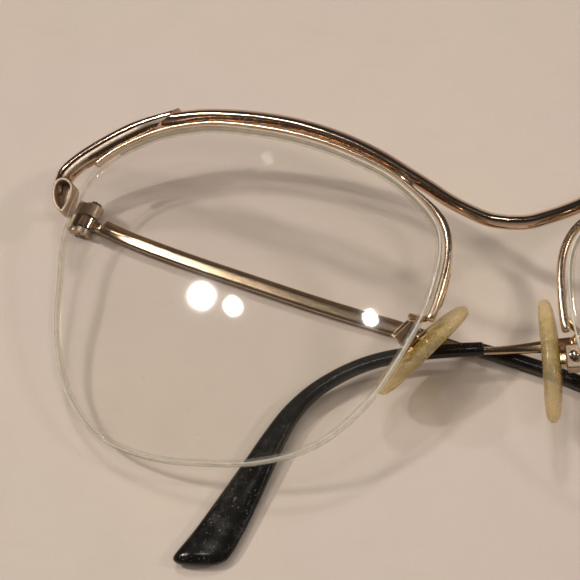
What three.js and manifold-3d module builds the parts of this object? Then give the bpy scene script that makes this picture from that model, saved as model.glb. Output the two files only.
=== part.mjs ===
// Half rim eyeglasses, folded, lying front face up on a table.
// Millimetres, +Z up from the table, +X towards the wearer's left, +Y towards the top of the frame front.
// The frame front is described in its own frame: x across, y backwards (towards the face), z up the face.
import * as THREE from "three";
import { mergeVertices } from "three/addons/utils/BufferGeometryUtils.js";
import Module from "manifold-3d";

const wasm = await Module();
wasm.setup();

// ---- driving dimensions ----
const GAP = 0.32; // running and brazing clearance between neighbouring pieces
const LEAN = 12; // degrees that the front leans up from the table
const REST_Z = 13.92; // height of the front frame's origin over the table
const CENTRE = [0, 3.6033]; // plan shift that puts the origin under the middle of the whole object

const LENS_CX = 36.5; // lens centre from the bridge centre
const LENS_T = 2.1; // lens thickness
const BASE_R = 113; // radius of the lens's front curve
const WRAP = 7.5; // degrees that each lens turns back at the temple side
// lens radius every 18 degrees, from the temple side over the top to the nose and round below
const LENS_RAD = [26.45, 28.75, 30.3, 28.0, 25.3, 23.25, 22.95, 24.1, 26.75, 29.3, 27.75, 26.2, 25.9, 25.65, 24.7, 24.25, 25.2, 26.6, 26.75, 26.3];
const GROOVE_D = 0.82; // depth of the groove round the lens edge
const GROOVE_W = 1.14; // width of that groove
const CORD_R = 0.25; // nylon cord radius

const BAR_X = [0, 2.5, 5, 8, 11, 14, 18, 24, 31, 38, 45, 50]; // brow bar centre line, one side
const BAR_Z = [11.55, 11.8, 12.7, 14.12, 15.95, 17.68, 19.95, 22.6, 24.7, 25.85, 26.25, 25.9];
const BAR_H = 1.08; // half height of the bar
const BRIDGE_H = 0.96; // half height of its bridge
const BAR_D = 1.05; // half depth of the bar
const BAR_END = 50; // where the corner piece takes over
const CORNER = [[50.6, 25.85], [54, 24.85], [57.5, 23.35], [61, 21.45], [64, 19.5], [65.7, 17.9], [66.2, 17.0]];
const CORNER_H = 1.3; // half height of the corner piece
const barY = (x) => 2.2 + 0.001744 * x * x;

const HINGE = { x: 63.5, y: 15, z: 12.1 }; // hinge axis at the height of the temple's centre line
const KNUCKLE_R = 1.35;
const LEAD = 2.85; // from the hinge axis to the start of the shaft
const SCREW_R = 0.42;
const TEMPLE = {
  // drop: slope of the folded temple, tuck: turn towards the lenses, pant: lean of the hinge axis, in degrees
  // high: height of the folded temple's centre line over the table, against the distance along it
  R: { side: -1, drop: 13.2, tuck: -2.6, pant: 6, high: [[0, 1.72], [30, 1.5], [60, 1.22], [80, 1.225], [100, 1.255], [124, 1.275]] },
  L: { side: 1, drop: 14.7, tuck: -4.5, pant: 10.5, high: [[0, 1.72], [30, 2.6], [60, 3.4], [70, 3.5], [82, 3.1], [94, 2.25], [106, 1.55], [124, 1.275]] },
};
// temple centre line in its own plane: along the shaft, and down
const PATH = {
  R: [[2.85, -0.15], [8, 0.5], [18, 1.1], [28, 1.4], [40, 1.65], [50, 1.55], [58, 1.15], [66, 0.9], [71, 0.95], [74, 1.15], [77, 1.42], [80.5, 1.85], [85, 3.0], [89.2, 5.3], [92.7, 8.2], [95.6, 11.4], [98.4, 15.0], [101.5, 19.0], [104.2, 22.4], [105.8, 24.5]],
  L: [[2.85, -0.15], [8, 0.4], [18, 0.95], [28, 1.2], [40, 1.1], [50, 0.4], [60.5, -0.65], [66, -1.2], [72.3, -2.0], [78, -2.45], [82.9, -2.2], [87, -1.2], [91, 0.6], [94.2, 3.1], [97.0, 6.5], [99.8, 10.6], [102.9, 15.1], [105.8, 18.95], [108.4, 21.9]],
};
const TIP_FROM = { R: 62.5, L: 68 }; // where the plastic tip starts
const CORE_TO = 86; // where the metal core inside the tip ends
const SHAFT_H = 1.12, SHAFT_T = 0.55, NARROW_H = 0.55; // half height and half thickness of the shaft, half height where it enters the tip

const PAD = {
  R: { side: -1, c: [-9.95, 5.05, -5.6], l: [-0.64, 0.03, -0.77], m: [-0.93, -0.37, 0] },
  L: { side: 1, c: [7.0, 3.6, -6.1], l: [0.16, 0.03, -0.985], m: [0.999, -0.05, 0] },
};
const PAD_L = 8.3, PAD_W = 3.8, PAD_T = 1.2; // half length, half width, half thickness

// ---- helpers ----
const V = (x, y, z) => new THREE.Vector3(x, y, z);
const rad = THREE.MathUtils.degToRad;

function closedGeometry(pos, idx) {
  const g = new THREE.BufferGeometry();
  g.setAttribute("position", new THREE.Float32BufferAttribute(pos, 3));
  g.setIndex(idx);
  let vol = 0;
  const a = V(), b = V(), c = V(), p = g.attributes.position;
  for (let i = 0; i < idx.length; i += 3) {
    a.fromBufferAttribute(p, idx[i]); b.fromBufferAttribute(p, idx[i + 1]); c.fromBufferAttribute(p, idx[i + 2]);
    vol += a.dot(b.cross(c));
  }
  if (vol < 0) for (let i = 0; i < idx.length; i += 3) [idx[i + 1], idx[i + 2]] = [idx[i + 2], idx[i + 1]];
  g.setIndex(idx);
  return g;
}
// Closed loft through rings of equal count; flat fans or centre points close its ends.
function loft(rings, closed = false) {
  const n = rings[0].length, pos = [], idx = [];
  for (const r of rings) for (const v of r) pos.push(v.x, v.y, v.z);
  const m = closed ? rings.length : rings.length - 1;
  for (let i = 0; i < m; i++) {
    const i2 = (i + 1) % rings.length;
    for (let j = 0; j < n; j++) {
      const j2 = (j + 1) % n, a = i * n + j, b = i * n + j2, c = i2 * n + j, d = i2 * n + j2;
      idx.push(a, b, d, a, d, c);
    }
  }
  if (!closed)
    for (const [k, flip] of [[0, true], [rings.length - 1, false]]) {
      const mid = rings[k].reduce((s, v) => s.add(v), V(0, 0, 0)).multiplyScalar(1 / n);
      pos.push(mid.x, mid.y, mid.z);
      const q = pos.length / 3 - 1;
      for (let j = 0; j < n; j++) {
        const a = k * n + j, b = k * n + ((j + 1) % n);
        flip ? idx.push(q, b, a) : idx.push(q, a, b);
      }
    }
  return closedGeometry(pos, idx);
}
// Superellipse section of n points, half sizes a (first axis) and b (second axis).
const oval = (n, a, b, e = 2.6) => Array.from({ length: n }, (_, i) => {
  const t = ((i + 0.5) / n) * Math.PI * 2, c = Math.cos(t), s = Math.sin(t);
  return [a * Math.sign(c) * Math.abs(c) ** (2 / e), b * Math.sign(s) * Math.abs(s) ** (2 / e)];
});
// Sweep of a section along points: up(i) gives the first section axis, the second is square to it and to the path.
// A third number in a section point moves it along the path.
function sweep(pts, section, up) {
  const rings = pts.map((p, i) => {
    const t = pts[Math.min(i + 1, pts.length - 1)].clone().sub(pts[Math.max(i - 1, 0)]).normalize();
    const u = up(i, t).clone(); u.addScaledVector(t, -u.dot(t)).normalize();
    const w = t.clone().cross(u);
    return section(i).map(([a, b, c = 0]) => p.clone().addScaledVector(u, a).addScaledVector(w, b).addScaledVector(t, c));
  });
  return loft(rings);
}
function solid(g) {
  const c = g.clone(); c.deleteAttribute("normal"); c.deleteAttribute("uv");
  const m = mergeVertices(c, 1e-4);
  return new wasm.Manifold(new wasm.Mesh({ numProp: 3, vertProperties: m.attributes.position.array, triVerts: new Uint32Array(m.index.array) }));
}
function fromSolid(s) {
  const m = s.getMesh(), g = new THREE.BufferGeometry();
  g.setAttribute("position", new THREE.BufferAttribute(new Float32Array(m.vertProperties), 3));
  g.setIndex(new THREE.BufferAttribute(new Uint32Array(m.triVerts), 1));
  return g;
}
const join = (...g) => fromSolid(g.map(solid).reduce((a, b) => a.add(b)));
const cut = (a, ...g) => fromSolid(g.map(solid).reduce((s, b) => s.subtract(b), solid(a)));
// Cylinder of radius r along the line from p to q.
function rod(p, q, r, n = 16) {
  const d = q.clone().sub(p), g = new THREE.CylinderGeometry(r, r, d.length(), n);
  g.applyQuaternion(new THREE.Quaternion().setFromUnitVectors(V(0, 1, 0), d.clone().normalize()));
  const c = p.clone().add(q).multiplyScalar(0.5);
  return g.translate(c.x, c.y, c.z);
}
// Box with half sizes along three square axes.
function block(c, ax, half) {
  const g = new THREE.BoxGeometry(2 * half[0], 2 * half[1], 2 * half[2]);
  const m = new THREE.Matrix4().makeBasis(ax[0], ax[1], ax[2]).setPosition(c);
  g.applyMatrix4(m);
  return m.determinant() < 0 ? cutFlip(g) : g;
}
function cutFlip(g) {
  const i = g.index.array;
  for (let k = 0; k < i.length; k += 3) [i[k + 1], i[k + 2]] = [i[k + 2], i[k + 1]];
  return g;
}
function interp(xs, ys, x) {
  const c = new THREE.CatmullRomCurve3(xs.map((v, i) => V(v, ys[i], 0)), false, "centripetal");
  let lo = 0, hi = 1;
  for (let k = 0; k < 40; k++) { const m = (lo + hi) / 2; c.getPoint(m).x < x ? (lo = m) : (hi = m); }
  return c.getPoint((lo + hi) / 2).y;
}

const front = new THREE.Group(); // the frame front and all that is folded behind it
front.rotation.x = -(Math.PI / 2 - rad(LEAN));
front.position.set(CENTRE[0], CENTRE[1], REST_Z);

function add(name, geometry, color, roughness, metalness, extra = {}) {
  const g = geometry.clone(); g.deleteAttribute("normal"); g.deleteAttribute("uv");
  const m = new THREE.Mesh(g, new THREE.MeshStandardMaterial({ color, roughness, metalness, ...extra }));
  m.name = name;
  front.add(m);
}
const GOLD = [0x96785f, 0.22, 1], SATIN = [0xa58c74, 0.45, 1], WARM = [0xb08a58, 0.3, 1];

// ---- lens shape ----
const radial = new THREE.CatmullRomCurve3(LENS_RAD.map((r, i) => V(r * Math.cos((i * Math.PI) / 10), r * Math.sin((i * Math.PI) / 10), 0)), true, "centripetal");
// Outline point at parameter u (turns from the temple side over the top), moved outwards by off.
function outline(u, off = 0) {
  const p = radial.getPoint(((u % 1) + 1) % 1), t = radial.getTangent(((u % 1) + 1) % 1);
  return [LENS_CX + p.x + t.y * off, p.y - t.x * off];
}
const lensY = (x, z) => ((x - LENS_CX) ** 2 + z * z) / (2 * BASE_R) + (x - LENS_CX) * Math.tan(rad(WRAP));
const rimPoint = (s, u, off, dy) => { const [x, z] = outline(u, off); return V(s * x, lensY(x, z) + dy, z); };

// ---- brow bar with the bridge ----
{
  const xs = [];
  for (let x = -BAR_END; x <= BAR_END + 1e-6; x += Math.abs(x) < 14 ? 2.5 : 4.5) xs.push(x);
  const pts = [];
  for (const x of xs) pts.push(V(x, barY(x), interp(BAR_X, BAR_Z, Math.abs(x))));
  if (pts.at(-1).x < BAR_END - 0.5) pts.push(V(BAR_END, barY(BAR_END), interp(BAR_X, BAR_Z, BAR_END)));
  add("brow_bar", sweep(pts, (i) => oval(10, THREE.MathUtils.lerp(BRIDGE_H, BAR_H, THREE.MathUtils.smoothstep(Math.abs(pts[i].x), 8, 26)), BAR_D, 2.7), () => V(0, 0, 1)), ...GOLD);
}

for (const [key, s] of [["R", -1], ["L", 1]]) {
  // ---- lens with a groove round its edge ----
  {
    const N = 36, rings = [];
    const ring = (off, dy) => Array.from({ length: N }, (_, i) => rimPoint(s, i / N, off, dy));
    const shrink = (k, dy) => Array.from({ length: N }, (_, i) => {
      const [x, z] = outline(i / N), X = LENS_CX + (x - LENS_CX) * k, Z = z * k;
      return V(s * X, lensY(X, Z) + dy, Z);
    });
    const g0 = (LENS_T - GROOVE_W) / 2, g1 = (LENS_T + GROOVE_W) / 2;
    rings.push(shrink(0.5, 0), ring(-0.25, 0), ring(0, 0.2), ring(0, g0), ring(-GROOVE_D, g0), ring(-GROOVE_D, g1), ring(0, g1), ring(0, LENS_T - 0.2), ring(-0.25, LENS_T), shrink(0.5, LENS_T));
    add("lens_" + key, loft(rings), 0xe8ede8, 0.05, 0, { transparent: true, opacity: 0.25 });
  }
  // ---- half rim wire: under the bar, then down the nasal side ----
  {
    const a = 0.105, b = 0.515, n = 30, pts = [], hw = [];
    for (let i = 0; i <= n; i++) {
      const u = a + ((b - a) * i) / n, k = THREE.MathUtils.smoothstep(u, 0.41, 0.445);
      hw.push(0.25 + 0.3 * k);
      pts.push(rimPoint(s, u, 0.34 + hw[i], LENS_T / 2));
    }
    add("half_rim_" + key, sweep(pts, (i) => oval(8, hw[i], 0.82, 3), (i) => { const [x, z] = outline(a + ((b - a) * i) / n, 1), [x0, z0] = outline(a + ((b - a) * i) / n, 0); return V(s * (x - x0), 0, z - z0); }), ...WARM);
    // ---- nylon liner in the lens groove, held by the half rim ----
    const lp = [];
    for (let i = 0; i <= 26; i++) lp.push(rimPoint(s, 0.125 + (0.375 * i) / 26, -0.22, LENS_T / 2));
    add("rim_liner_" + key, sweep(lp, () => oval(6, 0.22, 0.24, 2), (i) => V(0, 1, 0)), 0xcfd2c6, 0.35, 0, { transparent: true, opacity: 0.6 });
    // ---- nylon cord round the lower edge ----
    const cp = [];
    for (let i = 0; i <= 36; i++) cp.push(rimPoint(s, 0.522 + (0.535 * i) / 36, -0.12, LENS_T / 2));
    add("nylon_cord_" + key, sweep(cp, () => oval(6, CORD_R, CORD_R, 2), () => V(0, 1, 0)), 0xd8dad0, 0.3, 0, { transparent: true, opacity: 0.6 });
  }
  // ---- corner piece: rounded upper edge, flat face, ridge and lower bevel ----
  {
    const c = new THREE.CatmullRomCurve3(CORNER.map(([x, z]) => V(s * x, barY(x), z)), false, "centripetal");
    const pts = c.getPoints(9);
    const sec = (i) => {
      const h = CORNER_H * (i < 2 ? 0.86 + 0.07 * i : i > 7 ? 1.24 - 0.11 * (i - 5) : 1), low = i > 4 ? 1 - 0.045 * (i - 4) : 1;
      return [[h, 0.1], [h * 0.93, -0.55], [h * 0.6, -0.98], [h * 0.25, -0.9], [-h * 0.35, -1.0], [-h * 0.5, -1.12], [-h * low, -0.55], [-h * low, 0.75], [-h * 0.7, 0.98], [h * 0.7, 0.98], [h * 0.95, 0.7]].map(([p, q]) => [p, s < 0 ? q : q]);
    };
    // second axis is turned so that the facets face forwards (-y) on both sides
    const rings = pts.map((p, i) => {
      const t = pts[Math.min(i + 1, pts.length - 1)].clone().sub(pts[Math.max(i - 1, 0)]).normalize();
      const w = V(0, 1, 0).addScaledVector(t, -t.y).normalize();
      const u = t.clone().cross(w); if (u.z < 0) u.negate();
      return sec(i).map(([a, b]) => p.clone().addScaledVector(u, a).addScaledVector(w, b));
    });
    add("corner_piece_" + key, loft(rings), ...SATIN);
  }
  // ---- hinge axis of this side ----
  const T = TEMPLE[key];
  const e1 = V(-s * Math.cos(rad(T.drop)) * Math.cos(rad(T.tuck)), Math.sin(rad(T.tuck)), -Math.sin(rad(T.drop)) * Math.cos(rad(T.tuck)));
  const ax = V(-s * Math.sin(rad(T.drop)), Math.tan(rad(T.pant)), Math.cos(rad(T.drop)));
  ax.addScaledVector(e1, -ax.dot(e1)).normalize();
  const back = ax.clone().cross(e1).multiplyScalar(-s); // thickness direction, away from the lenses
  const H = V(s * HINGE.x, HINGE.y, HINGE.z);
  const onAxis = (v) => H.clone().addScaledVector(ax, v);

  // ---- end piece: teardrop loop under the corner, and the strap back to the hinge ----
  {
    const y0 = 7.6, y1 = 9.0;
    const loop = (pts, hole) => {
      const line = pts.map(([x, z]) => new THREE.Vector2(s * x, z));
      if (THREE.ShapeUtils.isClockWise(line)) line.reverse();
      const sh = new THREE.Shape(line);
      sh.holes.push(new THREE.Path(hole.map(([x, z]) => new THREE.Vector2(s * x, z))));
      const g = new THREE.ExtrudeGeometry(sh, { depth: y1 - y0, bevelEnabled: false, curveSegments: 1 });
      return g.rotateX(Math.PI / 2).translate(0, y1, 0);
    };
    const ring = loop(
      [[66.5, 15.3], [66.55, 14.3], [66.25, 13.1], [65.7, 12.0], [65.1, 11.2], [64.6, 10.8], [64.2, 11.4], [63.9, 12.5], [63.65, 13.7], [63.7, 14.8], [64.0, 15.7], [64.9, 16.0], [66.1, 15.95]],
      [[65.8, 15.15], [65.85, 14.3], [65.6, 13.3], [65.2, 12.4], [64.85, 11.9], [64.6, 12.7], [64.35, 13.7], [64.4, 14.6], [64.65, 15.2], [65.2, 15.4]]);
    const strapPts = [V(s * 66.1, 8.3, 15.2), V(s * 66.45, 10.2, 15.0), V(s * 66.6, 12.2, 14.6), V(s * 66.65, 14.2, 14.2), V(s * 66.65, 15.9, 13.8)];
    const strap = sweep(strapPts, () => oval(10, 1.05, 0.4, 4), () => V(0, 0, 1));
    add("end_piece_" + key, join(ring, strap), ...GOLD);
  }
  // ---- hinge: two knuckles on the front, one on the temple, and the screw ----
  {
    const upper = rod(onAxis(0.9), onAxis(2.85), KNUCKLE_R, 14), lower = rod(onAxis(-2.1), onAxis(-1.3), KNUCKLE_R, 14);
    // leaf that carries both knuckles, outside the temple knuckle's sweep
    const out = V(s, 0, 0).addScaledVector(ax, -ax.x * s).normalize(), side = ax.clone().cross(out);
    const leafC = H.clone().addScaledVector(ax, 0.375).addScaledVector(out, 1.98);
    const leaf = block(leafC, [out, side, ax], [0.3, 1.1, 2.475]);
    const armU = block(onAxis(1.875).addScaledVector(out, 1.35), [out, side, ax], [0.85, 0.7, 0.975]);
    const armL = block(onAxis(-1.7).addScaledVector(out, 1.35), [out, side, ax], [0.85, 0.7, 0.4]);
    const bore = rod(onAxis(-4), onAxis(5), SCREW_R + 0.34, 12);
    add("hinge_front_" + key, cut(join(upper, lower, leaf, armU, armL), bore), ...GOLD);
    add("hinge_screw_" + key, join(rod(onAxis(-2.05), onAxis(3.25), SCREW_R, 10), rod(onAxis(3.18), onAxis(3.48), 0.85, 10)), 0xb9b4aa, 0.3, 1);
    const mid = rod(onAxis(-0.98), onAxis(0.58), KNUCKLE_R, 14);
    const neck = block(onAxis(-0.2).addScaledVector(e1, 1.45), [e1, ax, back], [LEAD - GAP - 1.45, 0.75, 0.6]);
    add("hinge_temple_" + key, cut(join(mid, neck), bore), ...GOLD);
  }
  // ---- temple: flat shaft with a thin core that runs on inside the tip ----
  {
    const hx = T.high.map((b) => b[0]), hy = T.high.map((b) => b[1]);
    const heightOf = (p) => p.z * Math.sin(rad(LEAN)) - p.y * Math.cos(rad(LEAN)) + REST_Z;
    const curve = new THREE.CatmullRomCurve3(PATH[key].map(([u, v]) => V(u, v, 0)), false, "centripetal");
    const len = curve.getLength(), M = 60, all = [];
    for (let i = 0; i <= M; i++) {
      const p = curve.getPointAt(i / M), arc = LEAD + (len * i) / M;
      const q = H.clone().addScaledVector(e1, p.x).addScaledVector(ax, -p.y);
      // bent in its thickness direction to the height that the folded temple has
      q.addScaledVector(back, (heightOf(q) - interp(hx, hy, arc)) / Math.cos(rad(LEAN)));
      all.push({ arc, p: q });
    }
    const at = (arc) => {
      const f = ((arc - LEAD) / len) * M, i = Math.min(M - 1, Math.max(0, Math.floor(f)));
      return all[i].p.clone().lerp(all[i + 1].p, f - i);
    };
    const arcs = (a, b, n) => Array.from({ length: n + 1 }, (_, i) => a + ((b - a) * i) / n);
    const L1 = LEAD + len, T0 = TIP_FROM[key];
    // shaft, stepping down to the core
    const sa = [...arcs(LEAD, T0 - 14, 7), ...arcs(T0 - 10.5, T0 - GAP, 4), T0 - GAP + 0.02, ...arcs(T0 + 1.5, CORE_TO, 6)];
    // its top edge falls to the thin core over the last part before the tip
    const narrow = (a) => (SHAFT_H - NARROW_H) * THREE.MathUtils.smoothstep(a, T0 - 13, T0 - 1);
    const sp = sa.map((a, i) => at(a).addScaledVector(ax, i <= 12 ? -narrow(a) * 0.5 : 0));
    const shaft = sweep(sp, (i) => (i <= 12 ? oval(12, (SHAFT_H - narrow(sa[i])) * (i === 0 ? 0.85 : 1), SHAFT_T, 3.4) : oval(12, 0.45, 0.32, 2.4)), () => ax);
    add("temple_" + key, shaft, ...GOLD);
    // tip
    const wid = (a) => { const t = (a - T0) / (L1 - T0); return [0.9 + 0.25 * t + 1.9 * THREE.MathUtils.smoothstep(t, 0.4, 1.0), 0.96 + 0.22 * THREE.MathUtils.smoothstep(t, 0.2, 0.7)]; };
    const ta = arcs(T0, L1 - 1.4, 18);
    const pts = ta.map(at), sizes = ta.map(wid);
    // rounded end, cut at a slant
    const d = at(L1).sub(at(L1 - 2)).normalize();
    for (const [k, q] of [[0.5, 0.93], [1.0, 0.76], [1.35, 0.46]]) { pts.push(at(L1 - 1.4).addScaledVector(d, k * 1.3)); sizes.push([wid(L1)[0] * q, wid(L1)[1] * (0.35 + 0.65 * q)]); }
    const slant = sizes.map((_, i) => 0.62 * THREE.MathUtils.smoothstep(i, ta.length - 4, sizes.length - 2));
    sizes[0] = [0.9, 0.86];
    const body = sweep(pts, (i) => oval(12, sizes[i][0], sizes[i][1], 2.5).map(([a, b]) => [a, b, a * slant[i]]), () => ax);
    const boreArc = [T0 - 1, T0 + 0.01, ...arcs(T0 + 1.5, CORE_TO + 0.6, 6)];
    const bore = sweep(boreArc.map(at), () => oval(8, 0.84, 0.7, 2.4), () => ax);
    add("temple_tip_" + key, cut(body, bore), 0x151310, 0.3, 0);
  }
  // ---- nose pad, its insert, screw and arm ----
  {
    const P = PAD[key];
    const l = V(...P.l).normalize(), m = V(...P.m); m.addScaledVector(l, -m.dot(l)).normalize();
    const w = l.clone().cross(m).normalize(), c = V(...P.c);
    // drop-shaped pad: rings through its thickness
    const N = 20, shape = (k, off) => Array.from({ length: N }, (_, i) => {
      const t = (i / N) * Math.PI * 2, ct = Math.cos(t), st = Math.sin(t);
      const r = 1 - 0.14 * ct; // a little wider at the lower end
      return c.clone().addScaledVector(l, -PAD_L * ct * k).addScaledVector(w, PAD_W * st * r * Math.abs(st) ** 0.12 * k).addScaledVector(m, off + 0.35 * (1 - k) * 0 - 0.012 * (PAD_L * ct * k) ** 2 * 0.5);
    });
    const body = loft([shape(0.6, -PAD_T), shape(0.93, -PAD_T * 0.6), shape(1, 0), shape(0.93, PAD_T * 0.55), shape(0.6, PAD_T * 0.9)]);
    const pocket = rod(c.clone().addScaledVector(m, -0.1), c.clone().addScaledVector(m, 2), 2.2, 12);
    add("nose_pad_" + key, cut(body, pocket), 0xb5975f, 0.35, 0, { transparent: true, opacity: 0.8 });
    const hub = c.clone().addScaledVector(m, 2.75); // rocking axis
    const disc = rod(c.clone().addScaledVector(m, 0.24), c.clone().addScaledVector(m, 0.85), 1.8, 12);
    const lug = block(c.clone().addScaledVector(m, 2.05), [l, w, m], [0.85, 0.6, 1.4]);
    const hole = rod(hub.clone().addScaledVector(w, -3), hub.clone().addScaledVector(w, 3), 0.63, 8);
    add("pad_insert_" + key, cut(join(disc, lug), hole), 0x9a7440, 0.5, 1);
    add("pad_screw_" + key, join(rod(hub.clone().addScaledVector(w, -1.35), hub.clone().addScaledVector(w, 1.75), 0.3, 8), rod(hub.clone().addScaledVector(w, 1.72), hub.clone().addScaledVector(w, 2.05), 0.6, 8)), 0xb9b4aa, 0.3, 1);
    // square box round the lug, on the end of a bent wire
    const bc = hub.clone();
    const box = cut(block(bc, [l, w, m], [1.62, 1.36, 0.95]), block(bc, [l, w, m], [1.22, 0.96, 3]), rod(hub.clone().addScaledVector(w, -3), hub.clone().addScaledVector(w, 3), 0.63, 8));
    const rimEnd = rimPoint(s, 0.5, 0.9, LENS_T / 2 + 0.82 + GAP + 0.56);
    const up1 = rimPoint(s, 0.478, 0.9, LENS_T / 2 + 0.82 + GAP + 0.56);
    const top = hub.clone().addScaledVector(l, -1.45);
    const route = key === "R"
      ? [up1, rimEnd, V(-9.6, 3.9, -1.9), V(-11.6, 4.3, -1.6), top.clone().addScaledVector(l, -0.9), top]
      : [up1, rimEnd, V(9.2, 3.4, -1.5), V(10.0, 3.7, -2.2), top.clone().addScaledVector(l, -0.7), top];
    const wire = sweep(new THREE.CatmullRomCurve3(route, false, "centripetal").getPoints(12), () => oval(6, 0.42, 0.42, 2), () => V(0, 1, 0.2));
    add("pad_arm_" + key, join(box, wire), 0xa9854f, 0.35, 1);
  }
}

export default front;
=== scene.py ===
import math

import bpy
import numpy as np
from mathutils import Matrix, Vector

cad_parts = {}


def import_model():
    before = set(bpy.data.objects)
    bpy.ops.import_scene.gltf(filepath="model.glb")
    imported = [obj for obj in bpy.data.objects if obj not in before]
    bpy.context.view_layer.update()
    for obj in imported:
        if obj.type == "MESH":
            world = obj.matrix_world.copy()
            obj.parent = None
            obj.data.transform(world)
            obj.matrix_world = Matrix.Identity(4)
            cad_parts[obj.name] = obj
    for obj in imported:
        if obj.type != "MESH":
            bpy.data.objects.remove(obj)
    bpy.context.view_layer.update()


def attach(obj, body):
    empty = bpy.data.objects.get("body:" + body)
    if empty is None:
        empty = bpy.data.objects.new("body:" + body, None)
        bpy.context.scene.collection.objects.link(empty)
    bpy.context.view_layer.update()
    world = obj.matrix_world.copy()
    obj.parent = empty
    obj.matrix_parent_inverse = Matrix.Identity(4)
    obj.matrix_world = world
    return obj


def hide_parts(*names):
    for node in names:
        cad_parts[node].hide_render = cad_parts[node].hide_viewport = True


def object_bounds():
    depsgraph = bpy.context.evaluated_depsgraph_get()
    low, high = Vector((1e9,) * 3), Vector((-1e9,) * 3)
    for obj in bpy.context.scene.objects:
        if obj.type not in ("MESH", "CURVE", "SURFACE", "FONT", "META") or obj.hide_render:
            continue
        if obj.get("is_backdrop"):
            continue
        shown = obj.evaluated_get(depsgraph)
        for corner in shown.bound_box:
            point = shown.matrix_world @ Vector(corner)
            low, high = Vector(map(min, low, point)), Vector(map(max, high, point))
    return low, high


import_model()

# ---------------------------------------------------------------- dimensions, mm, as in the CAD source
GAP = 0.32
LEAN = math.radians(12)
REST_Z = 13.92
CENTRE_Y = 3.6033
LENS_CX, LENS_T, BASE_R, WRAP = 36.5, 2.1, 113.0, math.radians(7.5)
LENS_RAD = [26.45, 28.75, 30.3, 28.0, 25.3, 23.25, 22.95, 24.1, 26.75, 29.3, 27.75, 26.2, 25.9, 25.65, 24.7, 24.25, 25.2, 26.6, 26.75, 26.3]
GROOVE_D, GROOVE_W, CORD_R = 0.82, 1.14, 0.25
BAR_X = [0, 2.5, 5, 8, 11, 14, 18, 24, 31, 38, 45, 50]
BAR_Z = [11.55, 11.8, 12.7, 14.12, 15.95, 17.68, 19.95, 22.6, 24.7, 25.85, 26.25, 25.9]
BAR_H, BRIDGE_H, BAR_D, BAR_END = 1.08, 0.96, 1.05, 50.0
CORNER = [[50.6, 25.85], [54, 24.85], [57.5, 23.35], [61, 21.45], [64, 19.5], [65.7, 17.9], [66.2, 17.0]]
CORNER_H = 1.3
HINGE = (63.5, 15.0, 12.1)
KNUCKLE_R, SCREW_R, LEAD = 1.35, 0.42, 2.85
TEMPLE = {
    "R": dict(side=-1, drop=13.2, tuck=-2.6, pant=6.0, high=[[0, 1.72], [30, 1.5], [60, 1.22], [80, 1.225], [100, 1.255], [124, 1.275]]),
    "L": dict(side=1, drop=14.7, tuck=-4.5, pant=10.5, high=[[0, 1.72], [30, 2.6], [60, 3.4], [70, 3.5], [82, 3.1], [94, 2.25], [106, 1.55], [124, 1.275]]),
}
PATH = {
    "R": [[2.85, -0.15], [8, 0.5], [18, 1.1], [28, 1.4], [40, 1.65], [50, 1.55], [58, 1.15], [66, 0.9], [71, 0.95], [74, 1.15], [77, 1.42], [80.5, 1.85], [85, 3.0], [89.2, 5.3], [92.7, 8.2], [95.6, 11.4], [98.4, 15.0], [101.5, 19.0], [104.2, 22.4], [105.8, 24.5]],
    "L": [[2.85, -0.15], [8, 0.4], [18, 0.95], [28, 1.2], [40, 1.1], [50, 0.4], [60.5, -0.65], [66, -1.2], [72.3, -2.0], [78, -2.45], [82.9, -2.2], [87, -1.2], [91, 0.6], [94.2, 3.1], [97.0, 6.5], [99.8, 10.6], [102.9, 15.1], [105.8, 18.95], [108.4, 21.9]],
}
TIP_FROM = {"R": 62.5, "L": 68.0}
SHAFT_H, SHAFT_T, NARROW_H = 1.12, 0.55, 0.55
PAD = {
    "R": dict(c=(-9.95, 5.05, -5.6), l=(-0.64, 0.03, -0.77), m=(-0.93, -0.37, 0)),
    "L": dict(c=(7.0, 3.6, -6.1), l=(0.16, 0.03, -0.985), m=(0.999, -0.05, 0)),
}
PAD_L, PAD_W, PAD_T = 8.3, 3.8, 1.2

A = np.array
rng = np.random.default_rng(7)


# ---------------------------------------------------------------- small maths
def world(p):
    """Front frame millimetres to row frame metres."""
    p = np.asarray(p, float)
    x, y, z = p[..., 0], p[..., 1], p[..., 2]
    c, s = math.cos(LEAN), math.sin(LEAN)
    return np.stack([x, z * c + y * s + CENTRE_Y, z * s - y * c + REST_Z], -1) * 1e-3


def unit(v):
    v = np.asarray(v, float)
    return v / np.maximum(np.linalg.norm(v, axis=-1, keepdims=True), 1e-12)


def smooth(x, a, b):
    t = np.clip((np.asarray(x, float) - a) / (b - a), 0, 1)
    return t * t * (3 - 2 * t)


def catmull(points, t, closed=False):
    """Centripetal spline through points at parameter t from 0 to 1."""
    P = np.asarray(points, float)
    l = len(P)
    q = (l if closed else l - 1) * t
    i = int(math.floor(q))
    w = q - i
    if not closed and i >= l - 1:
        i, w = l - 2, 1.0
    p1, p2 = P[i % l], P[(i + 1) % l]
    p0 = P[(i - 1) % l] if closed or i > 0 else 2 * P[0] - P[1]
    p3 = P[(i + 2) % l] if closed or i + 2 < l else 2 * P[-1] - P[-2]
    d0, d1, d2 = (max(float(((b - a) ** 2).sum()) ** 0.25, 0) for a, b in ((p0, p1), (p1, p2), (p2, p3)))
    d1 = d1 if d1 > 1e-4 else 1.0
    d0 = d0 if d0 > 1e-4 else d1
    d2 = d2 if d2 > 1e-4 else d1
    t1 = ((p1 - p0) / d0 - (p2 - p0) / (d0 + d1) + (p2 - p1) / d1) * d1
    t2 = ((p2 - p1) / d1 - (p3 - p1) / (d1 + d2) + (p3 - p2) / d2) * d1
    return p1 + t1 * w + (-3 * p1 + 3 * p2 - 2 * t1 - t2) * w * w + (2 * p1 - 2 * p2 + t1 + t2) * w ** 3


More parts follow.
